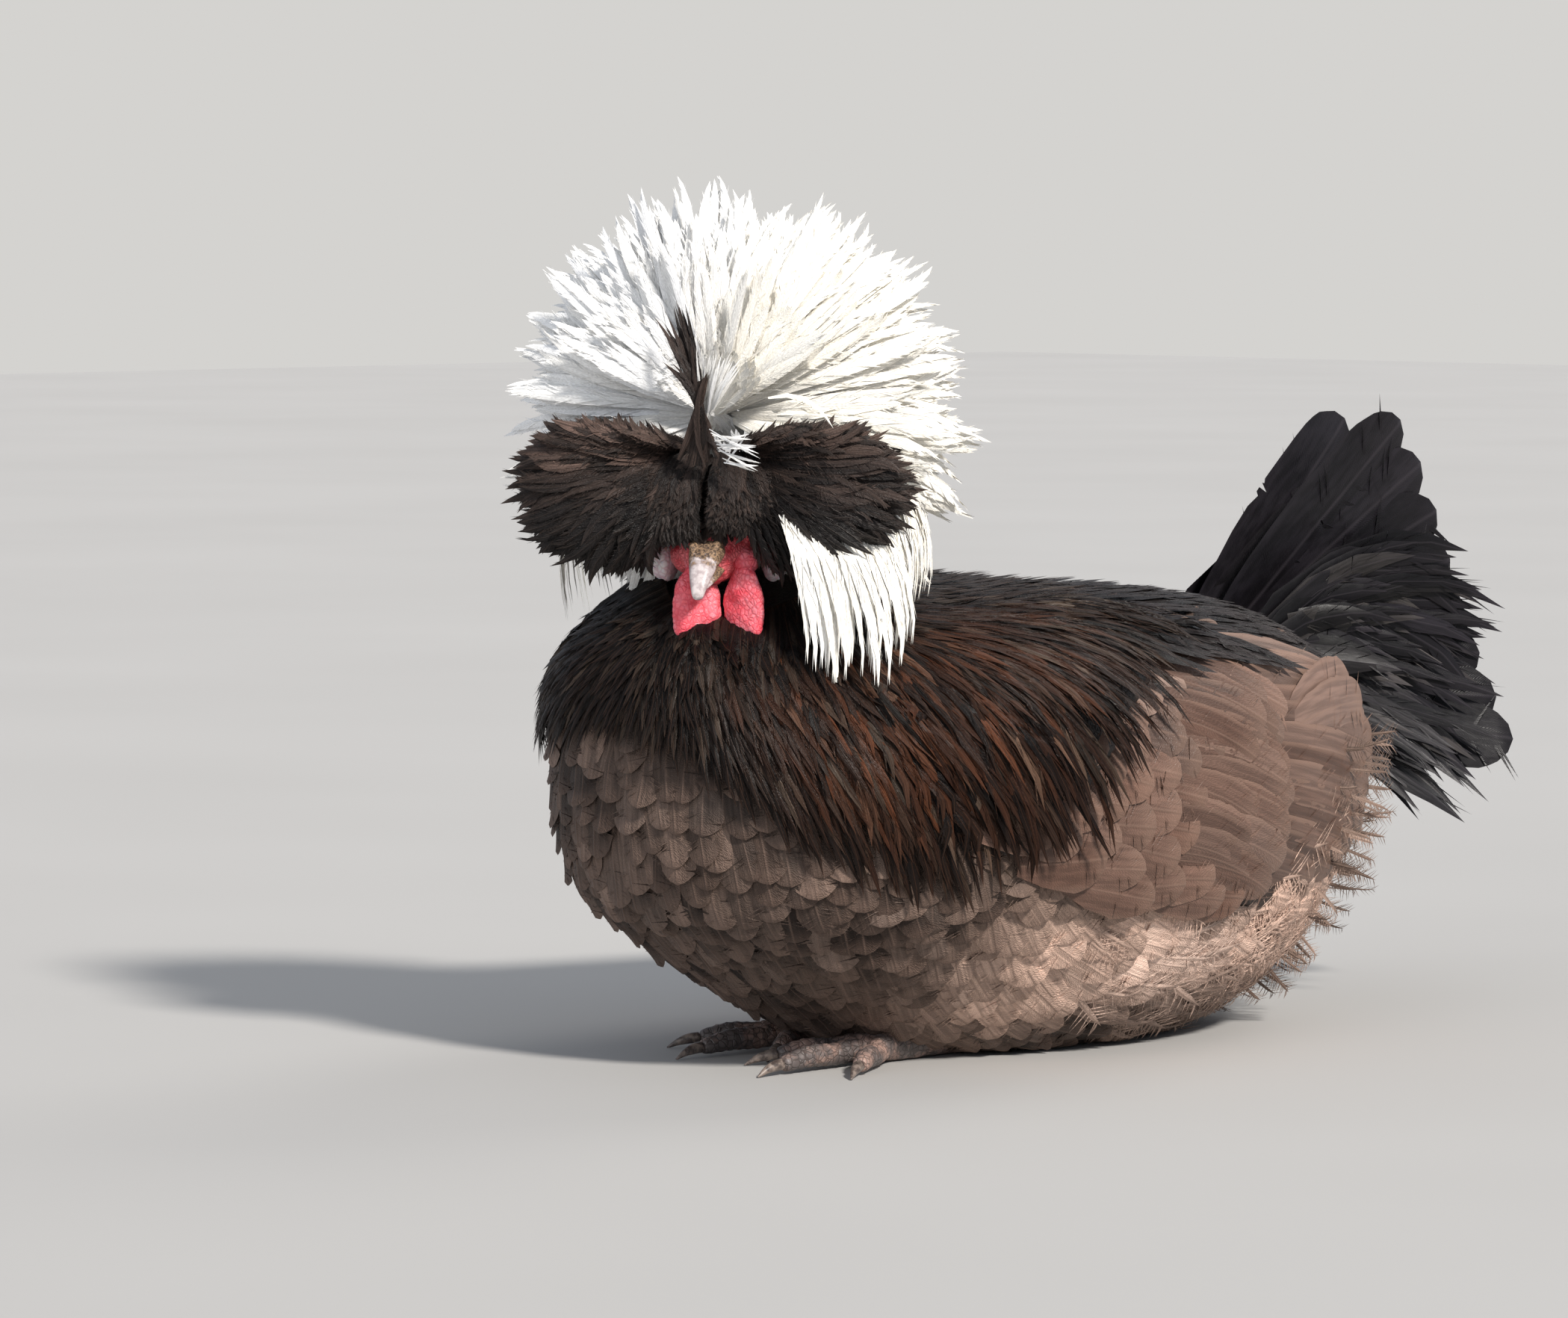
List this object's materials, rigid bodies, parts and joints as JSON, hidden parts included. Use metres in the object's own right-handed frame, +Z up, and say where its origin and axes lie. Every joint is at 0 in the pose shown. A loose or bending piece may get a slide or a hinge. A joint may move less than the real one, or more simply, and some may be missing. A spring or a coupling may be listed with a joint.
{
  "type": "white-crested polish chicken",
  "caption": "Still life-size model of a sitting crested cock with a full round white crest, long neck hackles, folded wings and a fanned tail.",
  "frame": {"origin": "on the floor, at the middle of the flat that the belly rests on", "axes": "-Y is the way the breast points, +Y the way the tail points, +X the bird's left, +Z up"},
  "size_m": [0.1782, 0.3493, 0.2411],
  "materials": {
    "white_plume": "soft white crest feathers",
    "dark_plume": "near black feathers with a brown gloss",
    "brown_plume": "matt chocolate brown feathers",
    "red_skin": "soft bare red skin",
    "lobe_skin": "soft bare bluish white skin",
    "horn": "smooth horn",
    "eye": "wet and glossy",
    "leg_skin": "scaled skin"
  },
  "bodies": {
    "root": {"beak_lower": "horn", "beak_upper": "horn", "claw_left_inner": "horn", "claw_left_middle": "horn", "claw_left_outer": "horn", "claw_right_inner": "horn", "claw_right_middle": "horn", "claw_right_outer": "horn", "crest_dark_left": "dark_plume", "crest_dark_right": "dark_plume", "crest_white": "white_plume", "earlobe_left": "lobe_skin", "earlobe_right": "lobe_skin", "eye_left": "eye", "eye_right": "eye", "head": "red_skin", "leg_left": "leg_skin", "leg_right": "leg_skin", "neck_hackles": "dark_plume", "saddle": "dark_plume", "tail_coverts_left": "dark_plume", "tail_coverts_right": "dark_plume", "tail_left": "dark_plume", "tail_right": "dark_plume", "torso": "brown_plume", "wattle_left": "red_skin", "wattle_right": "red_skin", "wing_left_coverts": "brown_plume", "wing_left_flights": "brown_plume", "wing_right_coverts": "brown_plume", "wing_right_flights": "brown_plume"}
  },
  "joints": []
}
